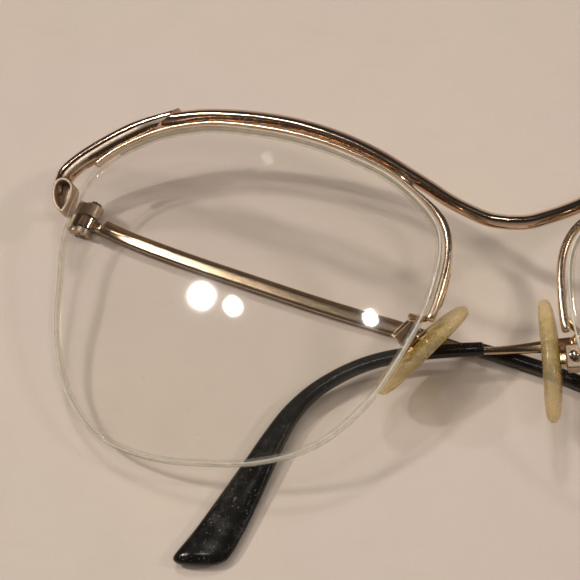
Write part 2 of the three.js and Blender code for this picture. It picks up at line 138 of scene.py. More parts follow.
def dense(points, n, closed=False):
    """n points evenly spaced along the spline."""
    k = max(400, 6 * n)
    Q = A([catmull(points, i / k, closed) for i in range(k + (0 if closed else 1))])
    if closed:
        Q = np.vstack([Q, Q[:1]])
    s = np.concatenate([[0], np.cumsum(np.linalg.norm(np.diff(Q, axis=0), axis=1))])
    want = np.linspace(0, s[-1], n + 1)[:-1] if closed else np.linspace(0, s[-1], n)
    return np.stack([np.interp(want, s, Q[:, j]) for j in range(Q.shape[1])], -1), s[-1]


def table_of(xs, ys, n=800):
    Q = A([catmull(np.stack([xs, ys], -1), i / n) for i in range(n + 1)])
    return Q[:, 0], Q[:, 1]


_bx, _bz = table_of(BAR_X, BAR_Z)
bar_z = lambda x: np.interp(np.abs(x), _bx, _bz)
bar_y = lambda x: 2.2 + 0.001744 * np.asarray(x, float) ** 2

_rad = A([[r * math.cos(i * math.pi / 10), r * math.sin(i * math.pi / 10)] for i, r in enumerate(LENS_RAD)])


def outline(u, off=0.0):
    u = u % 1.0
    p = catmull(_rad, u, True)
    t = unit(catmull(_rad, (u + 1e-4) % 1.0, True) - catmull(_rad, (u - 1e-4) % 1.0, True))
    return A([LENS_CX + p[0] + t[1] * off, p[1] - t[0] * off])


def lens_y(x, z):
    return ((x - LENS_CX) ** 2 + z * z) / (2 * BASE_R) + (x - LENS_CX) * math.tan(WRAP)


def rim_point(s, u, off, dy):
    x, z = outline(u, off)
    return A([s * x, lens_y(x, z) + dy, z])


# ---------------------------------------------------------------- mesh building
coll = bpy.context.scene.collection


def make(name, verts, faces, mats, face_mat=None, uv=None, sharp=35, smooth_faces=True, is_world=False):
    me = bpy.data.meshes.new(name)
    v = np.asarray(verts, float) if is_world else world(verts)
    me.from_pydata([tuple(p) for p in v], [], [tuple(f) for f in faces])
    for m in mats if isinstance(mats, (list, tuple)) else [mats]:
        me.materials.append(m)
    if face_mat is not None:
        me.polygons.foreach_set("material_index", np.asarray(face_mat, np.int32))
    if uv is not None:
        layer = me.uv_layers.new(name="Along")
        flat = [c for f in uv for p in f for c in p]
        layer.data.foreach_set("uv", flat)
    me.validate()
    me.update()
    # outward faces
    vol = 0.0
    for p in me.polygons:
        a = me.vertices[p.vertices[0]].co
        for k in range(1, len(p.vertices) - 1):
            vol += a.dot(me.vertices[p.vertices[k]].co.cross(me.vertices[p.vertices[k + 1]].co))
    if vol < 0:
        me.flip_normals()
    if smooth_faces:
        me.polygons.foreach_set("use_smooth", [True] * len(me.polygons))
        me.set_sharp_from_angle(angle=math.radians(sharp))
    ob = bpy.data.objects.new(name, me)
    coll.objects.link(ob)
    return ob


def loft_data(rings, closed=False, caps=True, scale_u=1.0, base=0):
    """Faces and uvs of a loft through equal rings; uv.x is the length in mm and uv.y goes round."""
    R = np.asarray(rings, float)
    m, n = R.shape[:2]
    verts = R.reshape(-1, 3)
    mid = R.mean(1)
    s = np.concatenate([[0], np.cumsum(np.linalg.norm(np.diff(mid, axis=0), axis=1))])
    if s[-1] < 0.5:
        s = np.arange(m) * 0.3
    faces, uv = [], []
    k = m if closed else m - 1
    for i in range(k):
        i2 = (i + 1) % m
        s2 = s[i2] if i2 else s[-1] + np.linalg.norm(mid[0] - mid[-1])
        for j in range(n):
            j2 = (j + 1) % n
            faces.append((base + i * n + j, base + i * n + j2, base + i2 * n + j2, base + i2 * n + j))
            uv.append(((s[i] * scale_u, j / n), (s[i] * scale_u, (j + 1) / n), (s2 * scale_u, (j + 1) / n), (s2 * scale_u, j / n)))
    if caps and not closed:
        verts = np.vstack([verts, mid[:1], mid[-1:]])
        c0, c1 = m * n, m * n + 1
        for j in range(n):
            j2 = (j + 1) % n
            faces.append((base + c0, base + j2, base + j))
            uv.append(((s[0], 0.5), (s[0], (j + 1) / n), (s[0], j / n)))
            faces.append((base + c1, base + (m - 1) * n + j, base + (m - 1) * n + j2))
            uv.append(((s[-1], 0.5), (s[-1], j / n), (s[-1], (j + 1) / n)))
    return verts, faces, uv


def combine(parts):
    """Joins (verts, faces, uv, material index) groups."""
    V, F, U, M, base = [], [], [], [], 0
    for p in parts:
        v, f, u = p[0], p[1], p[2]
        mi = p[3] if len(p) > 3 else 0
        V.append(v)
        F += [tuple(i + base for i in q) for q in f]
        U += u
        M += [mi] * len(f)
        base += len(v)
    return np.vstack(V), F, U, M


def frames(P, up):
    """Tangents and the two section axes along a line of points; up is one vector or one per point."""
    T = np.empty_like(P)
    T[1:-1] = P[2:] - P[:-2]
    T[0], T[-1] = P[1] - P[0], P[-1] - P[-2]
    T = unit(T)
    U = np.broadcast_to(np.asarray(up, float), P.shape).copy()
    U -= (U * T).sum(-1, keepdims=True) * T
    U = unit(U)
    return T, U, np.cross(T, U)


def sweep_rings(P, up, section):
    """section(i) gives an array of (a, b) or (a, b, c) offsets along the two section axes and the path."""
    T, U, W = frames(P, up)
    rings = []
    for i in range(len(P)):
        q = np.asarray(section(i), float)
        r = P[i] + q[:, :1] * U[i] + q[:, 1:2] * W[i]
        if q.shape[1] > 2:
            r = r + q[:, 2:3] * T[i]
        rings.append(r)
    return A(rings)


def oval(n, a, b, e=2.4):
    t = (np.arange(n) + 0.5) / n * 2 * math.pi
    c, s = np.cos(t), np.sin(t)
    return np.stack([a * np.sign(c) * np.abs(c) ** (2 / e), b * np.sign(s) * np.abs(s) ** (2 / e)], -1)


def rounded(poly, r, k=3):
    """Closed polygon with each corner turned into k + 1 points on a small round."""
    P = np.asarray(poly, float)
    out = []
    for i in range(len(P)):
        a, b, c = P[i - 1], P[i], P[(i + 1) % len(P)]
        la, lc = np.linalg.norm(a - b), np.linalg.norm(c - b)
        d = min(r, 0.45 * la, 0.45 * lc)
        p, q = b + (a - b) / la * d, b + (c - b) / lc * d
        for j in range(k + 1):
            t = j / k
            out.append((1 - t) ** 2 * p + 2 * t * (1 - t) * b + t * t * q)
    return A(out)


def end_round(P, sizes, n=5, depth=0.4, start=True, end=True):
    """Adds points and shrinking sizes so that a sweep's ends are domed. The argument sizes is not used."""
    P, S = list(P), [1.0] * len(P)
    add0, add1 = [], []
    t0, t1 = unit(P[0] - P[1]), unit(P[-1] - P[-2])
    for j in range(1, n + 1):
        a = j / n * math.pi / 2 * 0.97
        add0.append((P[0] + t0 * depth * math.sin(a), math.cos(a)))
        add1.append((P[-1] + t1 * depth * math.sin(a), math.cos(a)))
    idx = list(range(len(P)))
    if start:
        P = [p for p, _ in reversed(add0)] + P
        S = [s for _, s in reversed(add0)] + S
        idx = [0] * n + idx
    if end:
        last = idx[-1]
        P = P + [p for p, _ in add1]
        S = S + [s for _, s in add1]
        idx = idx + [last] * n
    return A(P), A(S), idx


def rod_data(p, q, r, n=28, bevel=0.12, bore=0.0, waist=0.0):
    """A turned pin or barrel from p to q with bevelled rims, and a through bore if asked."""
    p, q = A(p, float) if not isinstance(p, np.ndarray) else p, A(q, float) if not isinstance(q, np.ndarray) else q
    d = q - p
    L = np.linalg.norm(d)
    t = d / L
    u = unit(np.cross(t, [0.3, 0.5, 0.8]))
    w = np.cross(t, u)
    prof = []
    for j in range(5):
        a = j / 4 * math.pi / 2
        prof.append((bevel * (1 - math.sin(a)), r - bevel * (1 - math.cos(math.pi / 2 - a)) if False else r - bevel + bevel * math.sin(a)))
    if waist:
        prof += [(L * 0.5, r - waist)]
    prof += [(L - h, rr) for h, rr in reversed(prof[:5])]
    if bore:
        prof = [(0.0, bore)] + [(h, rr) for h, rr in prof] + [(L, bore)]
    rings = []
    for h, rr in prof:
        a = np.arange(n) / n * 2 * math.pi
        rings.append(p + t * h + rr * (np.cos(a)[:, None] * u + np.sin(a)[:, None] * w))
    return loft_data(rings, closed=bool(bore), caps=not bore)


def box_data(c, ax, half, r=0.12, k=3):
    """A block along three square axes with rounded long edges and chamfered ends."""
    c = np.asarray(c, float)
    ax = [unit(a) for a in ax]
    poly = rounded([(-half[1], -half[2]), (half[1], -half[2]), (half[1], half[2]), (-half[1], half[2])], r, k)
    rings = []
    for h, sc in ((-half[0], 1 - r / half[1] * 0.9), (-half[0] + r * 0.35, 1 - r / half[1] * 0.3), (-half[0] + r, 1.0), (half[0] - r, 1.0), (half[0] - r * 0.35, 1 - r / half[1] * 0.3), (half[0], 1 - r / half[1] * 0.9)):
        rings.append(c + ax[0] * h + poly[:, :1] * sc * ax[1] + poly[:, 1:2] * sc * ax[2])
    return loft_data(rings)


# ---------------------------------------------------------------- materials
def mat(name):
    m = bpy.data.materials.new(name)
    m.use_nodes = True
    nt = m.node_tree
    nt.nodes.clear()
    return m, nt, nt.nodes, nt.links


def node(nt, kind, **props):
    n = nt.nodes.new(kind)
    for k, v in props.items():
        setattr(n, k, v)
    return n


def noise(nt, vec, scale, detail=3.0, rough=0.55, kind="Fac"):
    n = node(nt, "ShaderNodeTexNoise")
    n.inputs["Scale"].default_value = scale
    n.inputs["Detail"].default_value = detail
    n.inputs["Roughness"].default_value = rough
    if vec is not None:
        nt.links.new(vec, n.inputs["Vector"])
    return n.outputs[kind]


def ramp(nt, fac, stops, interpolation="LINEAR"):
    r = node(nt, "ShaderNodeValToRGB")
    r.color_ramp.interpolation = interpolation
    el = r.color_ramp.elements
    while len(el) < len(stops):
        el.new(0.5)
    for e, (p, c) in zip(el, stops):
        e.position = p
        e.color = (c, c, c, 1) if isinstance(c, (int, float)) else (*c, 1)
    nt.links.new(fac, r.inputs["Fac"])
    return r.outputs["Color"]


def mix(nt, fac, a, b, kind="MIX"):
    m = node(nt, "ShaderNodeMix", data_type="RGBA", blend_type=kind)
    if isinstance(fac, (int, float)):
        m.inputs[0].default_value = fac
    else:
        nt.links.new(fac, m.inputs[0])
    for sock, v in ((m.inputs[6], a), (m.inputs[7], b)):
        if isinstance(v, tuple):
            sock.default_value = (*v, 1)
        else:
            nt.links.new(v, sock)
    return m.outputs[2]


def maths(nt, op, a, b=0.0, c=None):
    m = node(nt, "ShaderNodeMath", operation=op)
    for i, v in enumerate((a, b) if c is None else (a, b, c)):
        if isinstance(v, (int, float)):
            m.inputs[i].default_value = v
        else:
            nt.links.new(v, m.inputs[i])
    return m.outputs[0]


def stretched(nt, sx, sy, sz=1.0, source="Along"):
    """UV length and turn, or object position in mm, scaled per axis."""
    if source == "Along":
        s = node(nt, "ShaderNodeUVMap", uv_map="Along").outputs[0]
    else:
        s = node(nt, "ShaderNodeTexCoord").outputs["Object"]
    m = node(nt, "ShaderNodeMapping")
    m.inputs["Scale"].default_value = (sx, sy, sz)
    nt.links.new(s, m.inputs["Vector"])
    return m.outputs[0]


def bump(nt, height, strength, distance, normal=None):
    b = node(nt, "ShaderNodeBump")
    b.inputs["Strength"].default_value = strength
    b.inputs["Distance"].default_value = distance
    nt.links.new(height, b.inputs["Height"])
    if normal is not None:
        nt.links.new(normal, b.inputs["Normal"])
    return b.outputs[0]


def metal(name, light, dark, rough=(0.1, 0.24), brush=None, brush_bump=0.0, grime=0.35, aniso=0.0, tarnish=0.3):
    """Plated metal: colour drift, dull patches, grime specks, fine scratches along or across the piece."""
    m, nt, N, L = mat(name)
    p = node(nt, "ShaderNodeBsdfPrincipled")
    o = node(nt, "ShaderNodeOutputMaterial")
    L.new(p.outputs[0], o.inputs[0])
    p.inputs["Metallic"].default_value = 1.0
    p.inputs["Anisotropic"].default_value = aniso
    pos = stretched(nt, 1000, 1000, 1000, "Object")
    big = noise(nt, pos, 0.22, 4)
    fine = noise(nt, pos, 2.6, 5, 0.65)
    speck = noise(nt, pos, 5.5, 2, 0.5)
    col = mix(nt, ramp(nt, big, [(0.38, 0.0), (0.66, 1.0)]), light, dark)
    col = mix(nt, maths(nt, "MULTIPLY", ramp(nt, fine, [(0.52, 0.0), (0.74, 1.0)]), tarnish), col, tuple(c * 0.45 for c in dark))
    col = mix(nt, maths(nt, "MULTIPLY", ramp(nt, speck, [(0.66, 0.0), (0.74, 1.0)]), grime), col, (0.06, 0.045, 0.03))
    L.new(col, p.inputs["Base Color"])
    r = node(nt, "ShaderNodeMapRange")
    L.new(fine, r.inputs[0])
    r.inputs[1].default_value, r.inputs[2].default_value = 0.3, 0.75
    r.inputs[3].default_value, r.inputs[4].default_value = rough
    rr = r.outputs[0]
    line = noise(nt, stretched(nt, *(brush or (0.25, 60.0))), 1.0, 4, 0.6)
    rr = maths(nt, "ADD", rr, maths(nt, "MULTIPLY", maths(nt, "SUBTRACT", line, 0.5), 0.22 if brush else 0.1))
    L.new(maths(nt, "MAXIMUM", rr, 0.04), p.inputs["Roughness"])
    h = maths(nt, "ADD", maths(nt, "MULTIPLY", line, 1.0 if brush else 0.25), maths(nt, "MULTIPLY", fine, 0.35))
    L.new(bump(nt, h, 1.0, (brush_bump or 0.004) * 1e-3), p.inputs["Normal"])
    return m


ROSE = metal("rose_polish", (0.70, 0.53, 0.41), (0.58, 0.42, 0.31), rough=(0.07, 0.17), brush_bump=0.004)
TEMPLE_METAL = metal("temple_polish", (0.66, 0.49, 0.325), (0.53, 0.385, 0.24), rough=(0.15, 0.25), brush_bump=0.0015, grime=0.3, tarnish=0.3)
GOLD = metal("worn_gold", (0.80, 0.56, 0.33), (0.72, 0.45, 0.22), rough=(0.12, 0.26), brush_bump=0.006)
COPPER = metal("copper_gold", (0.90, 0.72, 0.54), (0.74, 0.54, 0.36), rough=(0.18, 0.32), brush_bump=0.005, tarnish=0.5)
BRIGHT = metal("solder_bright", (0.72, 0.66, 0.58), (0.5, 0.42, 0.33), rough=(0.06, 0.2), brush=(2.0, 2.0), brush_bump=0.05, grime=0.6)
STEEL = metal("screw_steel", (0.50, 0.46, 0.40), (0.36, 0.32, 0.27), rough=(0.18, 0.34), brush=(14.0, 0.5), brush_bump=0.01)
SATIN = metal("cross_brushed", (0.58, 0.465, 0.365), (0.46, 0.36, 0.28), rough=(0.36, 0.50), brush=(16.0, 1.2), brush_bump=0.03, grime=0.4)
BEVEL = metal("corner_bevel", (0.62, 0.47, 0.36), (0.46, 0.33, 0.24), rough=(0.16, 0.3), brush=(12.0, 1.0), brush_bump=0.008, grime=0.5)
LOOP_IN = metal("loop_inside", (0.66, 0.51, 0.38), (0.48, 0.36, 0.26), rough=(0.5, 0.66), brush=(10.0, 1.0), brush_bump=0.02, grime=0.6)
DARK_HINGE = metal("hinge_brushed", (0.62, 0.48, 0.35), (0.42, 0.31, 0.21), rough=(0.38, 0.54), brush=(18.0, 0.8), brush_bump=0.02, grime=0.8, tarnish=0.8)


def lens_face():
    m, nt, N, L = mat("lens_clear")
    o = node(nt, "ShaderNodeOutputMaterial")
    pos = stretched(nt, 1000, 1000, 1000, "Object")
    t = node(nt, "ShaderNodeBsdfTransparent")
    t.inputs[0].default_value = (0.995, 0.993, 0.988, 1)
    g = node(nt, "ShaderNodeBsdfGlossy")
    g.inputs["Color"].default_value = (1, 1, 1, 1)
    g.inputs["Roughness"].default_value = 0.05
    fr = node(nt, "ShaderNodeLayerWeight")
    fr.inputs["Blend"].default_value = 0.5
    edge = maths(nt, "POWER", fr.outputs["Facing"], 5.0)
    s1 = node(nt, "ShaderNodeMixShader")
    L.new(maths(nt, "MULTIPLY_ADD", edge, 0.55, 0.030), s1.inputs[0])
    L.new(t.outputs[0], s1.inputs[1])
    L.new(g.outputs[0], s1.inputs[2])
    # a thin film of dust and a few specks
    d = node(nt, "ShaderNodeBsdfDiffuse")
    d.inputs["Color"].default_value = (0.75, 0.70, 0.62, 1)
    film = ramp(nt, noise(nt, pos, 0.09, 5, 0.6), [(0.35, 0.0), (0.75, 0.020)])
    speck = maths(nt, "MULTIPLY", ramp(nt, noise(nt, pos, 2.1, 2, 0.5), [(0.735, 0.0), (0.78, 1.0)]), 0.28)
    s2 = node(nt, "ShaderNodeMixShader")
    L.new(maths(nt, "ADD", film, speck), s2.inputs[0])
    L.new(s1.outputs[0], s2.inputs[1])
    L.new(d.outputs[0], s2.inputs[2])
    L.new(s2.outputs[0], o.inputs[0])
    return m


def clear_plastic(name, tint, body, see, rough=0.2, glow=0.0, fine=0.05):
    """Glass edge, cord or liner, and the painted highlight band on the lens bevel: part see-through, part milky, with
    noise in both.
    """
    m, nt, N, L = mat(name)
    o = node(nt, "ShaderNodeOutputMaterial")
    pos = stretched(nt, 1000, 1000, 1000, "Object")
    t = node(nt, "ShaderNodeBsdfTransparent")
    t.inputs[0].default_value = (*tint, 1)
    p = node(nt, "ShaderNodeBsdfPrincipled")
    nz = noise(nt, pos, 0.8, 4, 0.6)
    L.new(mix(nt, ramp(nt, nz, [(0.35, 0.0), (0.7, 1.0)]), body, tuple(c * 0.72 for c in body)), p.inputs["Base Color"])
    rr = node(nt, "ShaderNodeMapRange")
    L.new(nz, rr.inputs[0])
    rr.inputs[3].default_value, rr.inputs[4].default_value = rough * 0.6, rough * 1.5
    L.new(rr.outputs[0], p.inputs["Roughness"])
    p.inputs["IOR"].default_value = 1.5
    p.inputs["Subsurface Weight"].default_value = 0.0
    L.new(bump(nt, noise(nt, pos, 6.0, 3), 1.0, fine * 1e-3 * 0.1), p.inputs["Normal"])
    s = node(nt, "ShaderNodeMixShader")
    L.new(maths(nt, "ADD", maths(nt, "MULTIPLY", maths(nt, "SUBTRACT", nz, 0.5), 0.35), 1 - see), s.inputs[0])
    L.new(t.outputs[0], s.inputs[1])
    L.new(p.outputs[0], s.inputs[2])
    L.new(s.outputs[0], o.inputs[0])
    return m


LENS = lens_face()
LENS_EDGE = clear_plastic("lens_edge", (0.97, 0.96, 0.93), (0.72, 0.67, 0.58), 0.87, 0.16)
# nearly opaque pale cream band on the lens's front bevel: a painted highlight standing in for the bright glint along
# the polished edge
EDGE_HIGHLIGHT_PAINT = clear_plastic("lens_edge_painted_highlight", (0.97, 0.95, 0.91), (0.98, 0.92, 0.82), 0.14, 0.12)
NYLON = clear_plastic("nylon_cord", (0.96, 0.94, 0.90), (0.90, 0.85, 0.76), 0.66, 0.25)
LINER = clear_plastic("nylon_liner", (0.86, 0.85, 0.78), (0.58, 0.54, 0.44), 0.45, 0.3)


def pad_material():
    """Clear pad plastic gone yellow: pale and glassy at the rim, olive and speckled over the insert."""
    m, nt, N, L = mat("pad_yellowed")
    o = node(nt, "ShaderNodeOutputMaterial")
    pos = stretched(nt, 1000, 1000, 1000, "Object")
    cloud = noise(nt, pos, 0.34, 5, 0.62)
    grit = noise(nt, pos, 1.9, 4, 0.7)
    streak = noise(nt, stretched(nt, 3.2, 5.0), 1.0, 4, 0.6)
    a = node(nt, "ShaderNodeAttribute", attribute_type="GEOMETRY", attribute_name="core")
    core = a.outputs["Fac"]
    p = node(nt, "ShaderNodeBsdfPrincipled")
    c = mix(nt, core, (0.74, 0.61, 0.40), (0.46, 0.33, 0.055))
    c = mix(nt, maths(nt, "MULTIPLY", ramp(nt, cloud, [(0.40, 0.0), (0.66, 1.0)]), 0.75), c, (0.56, 0.42, 0.17))
    c = mix(nt, maths(nt, "MULTIPLY", maths(nt, "MULTIPLY", ramp(nt, grit, [(0.50, 0.0), (0.62, 1.0)]), core), 0.85), c, (0.20, 0.125, 0.03))
    c = mix(nt, maths(nt, "MULTIPLY", ramp(nt, streak, [(0.56, 0.0), (0.72, 1.0)]), 0.45), c, (0.90, 0.80, 0.60))
    L.new(c, p.inputs["Base Color"])
    p.inputs["IOR"].default_value = 1.45
    r = node(nt, "ShaderNodeMapRange")
    L.new(cloud, r.inputs[0])
    r.inputs[3].default_value, r.inputs[4].default_value = 0.06, 0.26
    L.new(r.outputs[0], p.inputs["Roughness"])
    h = maths(nt, "ADD", noise(nt, pos, 1.0, 4), maths(nt, "MULTIPLY", streak, 0.4))
    L.new(bump(nt, h, 1.0, 0.04e-3), p.inputs["Normal"])
    t = node(nt, "ShaderNodeBsdfTransparent")
    t.inputs[0].default_value = (0.98, 0.90, 0.70, 1)
    lw = node(nt, "ShaderNodeLayerWeight")
    lw.inputs["Blend"].default_value = 0.5
    s_ = node(nt, "ShaderNodeMixShader")
    f = maths(nt, "ADD", maths(nt, "MULTIPLY", core, 0.26), maths(nt, "MULTIPLY", maths(nt, "SUBTRACT", cloud, 0.5), 0.9))
    f = maths(nt, "ADD", f, maths(nt, "MULTIPLY", maths(nt, "POWER", lw.outputs["Facing"], 3.0), 0.45))
    L.new(maths(nt, "MINIMUM", maths(nt, "MAXIMUM", maths(nt, "ADD", f, 0.34), 0.14), 0.95), s_.inputs[0])
    L.new(t.outputs[0], s_.inputs[1])
    L.new(p.outputs[0], s_.inputs[2])
    L.new(s_.outputs[0], o.inputs[0])
    return m


def acetate():
    """Black plastic: semi-gloss, with dust that gathers towards the end, and hairline scratches."""
    m, nt, N, L = mat("black_tip")
    o = node(nt, "ShaderNodeOutputMaterial")
    p = node(nt, "ShaderNodeBsdfPrincipled")
    pos = stretched(nt, 1000, 1000, 1000, "Object")
    a = node(nt, "ShaderNodeAttribute", attribute_type="GEOMETRY", attribute_name="worn")
    cloud = noise(nt, pos, 0.35, 5, 0.65)
    grain = noise(nt, pos, 7.0, 4, 0.7)
    scratch = noise(nt, stretched(nt, 0.35, 26.0), 1.0, 3, 0.6)
    patch = maths(nt, "MULTIPLY", ramp(nt, cloud, [(0.46, 0.0), (0.62, 1.0)]), ramp(nt, grain, [(0.42, 0.0), (0.66, 1.0)]))
    dust = maths(nt, "MULTIPLY", patch, maths(nt, "ADD", maths(nt, "MULTIPLY", a.outputs["Fac"], 0.16), 0.012))
    fleck = maths(nt, "MULTIPLY", ramp(nt, noise(nt, pos, 3.2, 2, 0.4), [(0.70, 0.0), (0.735, 1.0)]), maths(nt, "ADD", maths(nt, "MULTIPLY", a.outputs["Fac"], 0.50), 0.05))
    hair = maths(nt, "MULTIPLY", ramp(nt, scratch, [(0.66, 0.0), (0.70, 1.0)]), maths(nt, "MULTIPLY", a.outputs["Fac"], 0.18))
    f = maths(nt, "MINIMUM", maths(nt, "ADD", maths(nt, "ADD", dust, fleck), hair), 0.85)
    base = mix(nt, cloud, (0.0055, 0.005, 0.0045), (0.012, 0.0105, 0.009))
    L.new(mix(nt, f, base, (0.33, 0.31, 0.26)), p.inputs["Base Color"])
    r = maths(nt, "ADD", maths(nt, "MULTIPLY", f, 0.45), maths(nt, "ADD", maths(nt, "MULTIPLY", cloud, 0.14), 0.13))
    L.new(r, p.inputs["Roughness"])
    p.inputs["IOR"].default_value = 1.40
    h = maths(nt, "ADD", maths(nt, "MULTIPLY", f, 0.8), maths(nt, "MULTIPLY", noise(nt, pos, 1.1, 3), 0.5))
    L.new(bump(nt, h, 1.0, 0.012e-3), p.inputs["Normal"])
    L.new(p.outputs[0], o.inputs[0])
    return m


PAD_MAT = pad_material()
ACETATE = acetate()


def attribute(ob, name, values):
    at = ob.data.attributes.new(name, "FLOAT", "POINT")
    at.data.foreach_set("value", np.asarray(values, np.float32))


# ---------------------------------------------------------------- brow bar and bridge
def bar_section(h, d):
    """Front face a little crowned, a narrow bevel above, a wider one below, round back. (up, front)"""
    poly = [(0.34, 1.0), (0.80, 0.55), (0.98, 0.12), (0.95, -0.45), (0.62, -0.88), (0.0, -1.0), (-0.62, -0.88), (-0.95, -0.45), (-1.0, 0.05), (-0.84, 0.42), (-0.40, 0.93), (-0.05, 1.02)]
    return rounded([(a * h, b * d) for a, b in poly], 0.11, 3)


X = np.linspace(-BAR_END - 0.2, BAR_END + 0.2, 301)
bar_pts = np.stack([X, bar_y(X), bar_z(X)], -1)


def bar_sec(i):
    x = X[i]
    h = BRIDGE_H + (BAR_H - BRIDGE_H) * float(smooth(abs(x), 8, 26))
    q = bar_section(h, BAR_D)
    # the ends are cut on the slant where the corner pieces lap over them
    k = float(smooth(abs(x), BAR_END - 3.2, BAR_END + 0.2)) * 1.55 * np.sign(x)
    return np.column_stack([q, -k * q[:, 0] - np.sign(k) * abs(k) * 0.25])


v, f, u = loft_data(sweep_rings(bar_pts, (0, 0, 1), bar_sec))
ob = make("brow_bar_shell", v, f, ROSE, uv=u, sharp=28)
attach(ob, "front"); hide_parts("brow_bar")

for key, s in (("R", -1), ("L", 1)):
    T_ = TEMPLE[key]
    body_t = "temple_right" if key == "R" else "temple_left"
    body_p = "pad_right" if key == "R" else "pad_left"

    # ------------------------------------------------------------ lens
    NU = 180
    us = np.arange(NU) / NU
    ol = A([outline(t) for t in us])
    nrm = A([outline(t, 1.0) for t in us]) - ol

    def lens_ring(off, dy):
        q = ol + nrm * off
        return np.stack([s * q[:, 0], lens_y(q[:, 0], q[:, 1]) + dy, q[:, 1]], -1)

    def lens_shrink(k, dy):
        x = LENS_CX + (ol[:, 0] - LENS_CX) * k
        z = ol[:, 1] * k
        return np.stack([s * x, lens_y(x, z) + dy, z], -1)

    g0, g1 = (LENS_T - GROOVE_W) / 2, (LENS_T + GROOVE_W) / 2
    front_r = [lens_shrink(k, 0.0) for k in (0.01, 0.07, 0.14, 0.21, 0.28, 0.35, 0.42, 0.49, 0.56, 0.63, 0.7, 0.77, 0.84, 0.9)] + [lens_ring(-0.9, 0.0)]
    edge_r = [lens_ring(-0.2, 0.0), lens_ring(0.0, 0.19), lens_ring(0.0, g0 - 0.02), lens_ring(-0.06, g0 + 0.05), lens_ring(-GROOVE_D + 0.1, g0 + 0.08), lens_ring(-GROOVE_D, LENS_T / 2), lens_ring(-GROOVE_D + 0.1, g1 - 0.08), lens_ring(-0.06, g1 - 0.05), lens_ring(0.0, g1 + 0.02), lens_ring(0.0, LENS_T - 0.11), lens_ring(-0.12, LENS_T)]
    back_r = [lens_ring(-0.9, LENS_T)] + [lens_shrink(k, LENS_T) for k in (0.9, 0.84, 0.77, 0.7, 0.63, 0.56, 0.49, 0.42, 0.35, 0.28, 0.21, 0.14, 0.07, 0.01)]
    rings = front_r + edge_r + back_r
    v, f, u = loft_data(rings)
    nf, ne = len(front_r), len(edge_r)
    fm = []
    for i in range(len(rings) - 1):
        # the front bevel ring gets the painted highlight band; the other edge faces get the milky edge material
        fm += [(2 if i == nf else 1) if nf <= i < nf + ne - 1 else 0] * NU
    fm += [0] * (2 * NU)
    ob = make("lens_glass_" + key, v, f, [LENS, LENS_EDGE, EDGE_HIGHLIGHT_PAINT], fm, uv=u, sharp=50)
    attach(ob, "front"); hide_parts("lens_" + key)

    # ------------------------------------------------------------ half rim, liner, cord
    a0, b0, n = 0.105, 0.515, 190
    ts = np.linspace(a0, b0, n)
    hw = 0.25 + 0.3 * smooth(ts, 0.41, 0.445)
    P = A([rim_point(s, t, 0.34 + h, LENS_T / 2) for t, h in zip(ts, hw)])
    UP = A([[s * (outline(t, 1)[0] - outline(t, 0)[0]), 0, outline(t, 1)[1] - outline(t, 0)[1]] for t in ts])
    P2, S2, idx = end_round(P, None, 5, 0.35)
    UP2 = UP[idx]
    hw2 = hw[idx]

    def rim_sec(i):
        h = hw2[i] * S2[i]
        d = 0.82 * S2[i]
        wide = float(smooth(hw2[i], 0.3, 0.5))
        e = 3.4 - 1.1 * wide
        return oval(32, h + 0.001, d * (1 - 0.1 * wide) + 0.001, e)

    v, f, u = loft_data(sweep_rings(P2, UP2, rim_sec))
    parts = [(v, f, u, 0)]
    # solder fillet where the wire leaves the bar
    t_b = 0.402
    pb = rim_point(s, t_b, 0.95, LENS_T / 2 - 0.15)
    dirn = unit(rim_point(s, t_b + 0.02, 0.95, LENS_T / 2) - rim_point(s, t_b - 0.02, 0.95, LENS_T / 2))
    blob = A([pb + dirn * h for h in np.linspace(-1.5, 1.5, 13)])
    bs = [0.52 * math.cos(h / 1.62 * math.pi / 2) ** 0.6 for h in np.linspace(-1.5, 1.5, 13)]
    v, f, u = loft_data(sweep_rings(blob, (0, 1, 0), lambda i: oval(18, bs[i] + 0.01, bs[i] * 0.9 + 0.01, 2.0)))
    parts.append((v, f, u, 0))
    v, f, u, fm = combine(parts)
    ob = make("half_rim_wire_" + key, v, f, [COPPER], fm, uv=u, sharp=32)
    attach(ob, "front"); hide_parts("half_rim_" + key)

    P = A([rim_point(s, 0.125 + 0.375 * t, -0.22, LENS_T / 2) for t in np.linspace(0, 1, 150)])
    P2, S2l, _ = end_round(P, None, 4, 0.2)
    v, f, u = loft_data(sweep_rings(P2, (0, 1, 0), lambda i: oval(12, 0.22 * S2l[i], 0.24 * S2l[i], 2)))
    ob = make("liner_" + key, v, f, LINER, uv=u)
    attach(ob, "front"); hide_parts("rim_liner_" + key)

    P = A([rim_point(s, 0.522 + 0.535 * t, -0.12, LENS_T / 2) for t in np.linspace(0, 1, 240)])
    P2, S2c, _ = end_round(P, None, 4, 0.2)
    v, f, u = loft_data(sweep_rings(P2, (0, 1, 0), lambda i: oval(14, CORD_R * S2c[i], CORD_R * S2c[i], 2)))
    ob = make("cord_" + key, v, f, NYLON, uv=u)
    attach(ob, "front"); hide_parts("nylon_cord_" + key)

